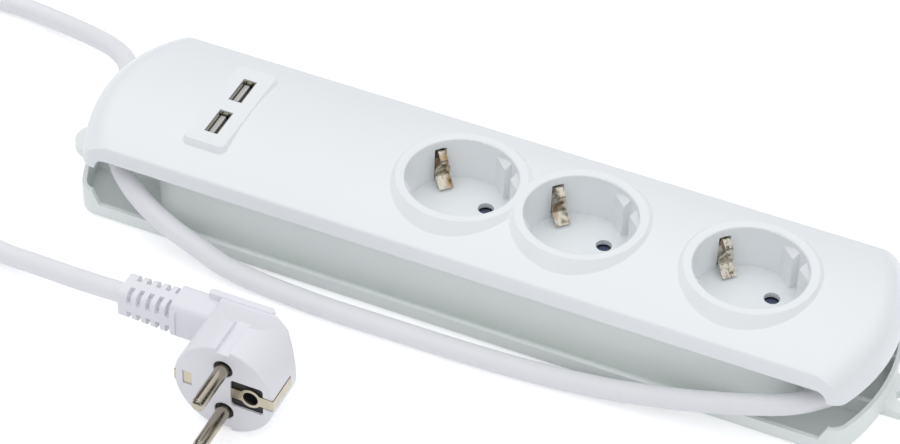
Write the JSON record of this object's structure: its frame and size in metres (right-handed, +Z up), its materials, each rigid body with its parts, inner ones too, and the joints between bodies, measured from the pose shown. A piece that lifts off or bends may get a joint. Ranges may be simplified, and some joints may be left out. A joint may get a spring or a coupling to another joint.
{
  "type": "extension lead",
  "caption": "Mains extension lead: long white case with a row of earthed round sockets, charge ports, a cord winding channel under the cover, and an angled plug.",
  "frame": {"origin": "centre of the case's underside, on the floor", "axes": "+X along the case towards the third socket, +Y towards the back where the cord leaves, +Z up out of the sockets"},
  "size_m": [0.4667, 0.1845, 0.0394],
  "materials": {
    "black_insert": "moulded PBT",
    "blue_grey_nylon": "moulded nylon",
    "board_green": "solder-masked glass laminate",
    "capacitor_sleeve": "shrink sleeve",
    "ferrite_black": "tape-wound core",
    "nickel_plate": "nickel plate",
    "spring_steel": "drawn wire",
    "tie_fabric": "hook-and-loop strap",
    "tinned_bronze": "stamped strip",
    "tongue_white": "moulded",
    "white_case": "satin moulded ABS",
    "white_cord": "extruded PVC sheath",
    "white_plug": "soft moulded PVC",
    "wire_blue": "PVC insulation",
    "wire_brown": "PVC insulation",
    "wire_green": "PVC insulation",
    "zinc_steel": "zinc plate"
  },
  "bodies": {
    "lead": {"base_tray": "white_case", "board_feeds": "wire_brown", "capacitors": "capacitor_sleeve", "case_screws": "zinc_steel", "clamp_screw": "zinc_steel", "coil_tie": "tie_fabric", "cord_clamp": "blue_grey_nylon", "cord_coil": "white_cord", "cord_run": "white_cord", "core_wall": "white_case", "earth_rail": "tinned_bronze", "earth_wire": "wire_green", "exit_boot": "white_cord", "live_wire": "wire_brown", "neutral_rail": "tinned_bronze", "neutral_wire": "wire_blue", "phase_rail": "tinned_bronze", "plug_body": "white_plug", "plug_earth_left": "nickel_plate", "plug_earth_right": "nickel_plate", "plug_insert": "black_insert", "plug_pin_1": "nickel_plate", "plug_pin_2": "nickel_plate", "plug_tail": "white_cord", "port_board": "board_green", "port_shell_1": "nickel_plate", "port_shell_2": "nickel_plate", "port_tongue_1": "tongue_white", "port_tongue_2": "tongue_white", "sheath_end": "white_cord", "shutter_keeper_1": "spring_steel", "shutter_keeper_2": "spring_steel", "shutter_keeper_3": "spring_steel", "shutter_spring_1": "spring_steel", "shutter_spring_2": "spring_steel", "shutter_spring_3": "spring_steel", "top_cover": "white_case", "transformer": "ferrite_black"},
    "shutter_1": {"shutter_1": "blue_grey_nylon"},
    "shutter_2": {"shutter_2": "blue_grey_nylon"},
    "shutter_3": {"shutter_3": "blue_grey_nylon"}
  },
  "joints": [
    {"name": "shutter_turn_1", "type": "hinge", "parent": "lead", "child": "shutter_1", "pos_m": [-0.00975, 0, 0.0184], "axis": [0, 0, 1], "range_deg": [0, 40], "stiffness_Nm_per_rad": 0.02, "springref_deg": -9.74},
    {"name": "shutter_turn_2", "type": "hinge", "parent": "lead", "child": "shutter_2", "pos_m": [0.0341, 0, 0.0184], "axis": [0, 0, 1], "range_deg": [0, 40], "stiffness_Nm_per_rad": 0.02, "springref_deg": -9.74},
    {"name": "shutter_turn_3", "type": "hinge", "parent": "lead", "child": "shutter_3", "pos_m": [0.0948, 0, 0.0184], "axis": [0, 0, 1], "range_deg": [0, 40], "stiffness_Nm_per_rad": 0.02, "springref_deg": -9.74}
  ]
}
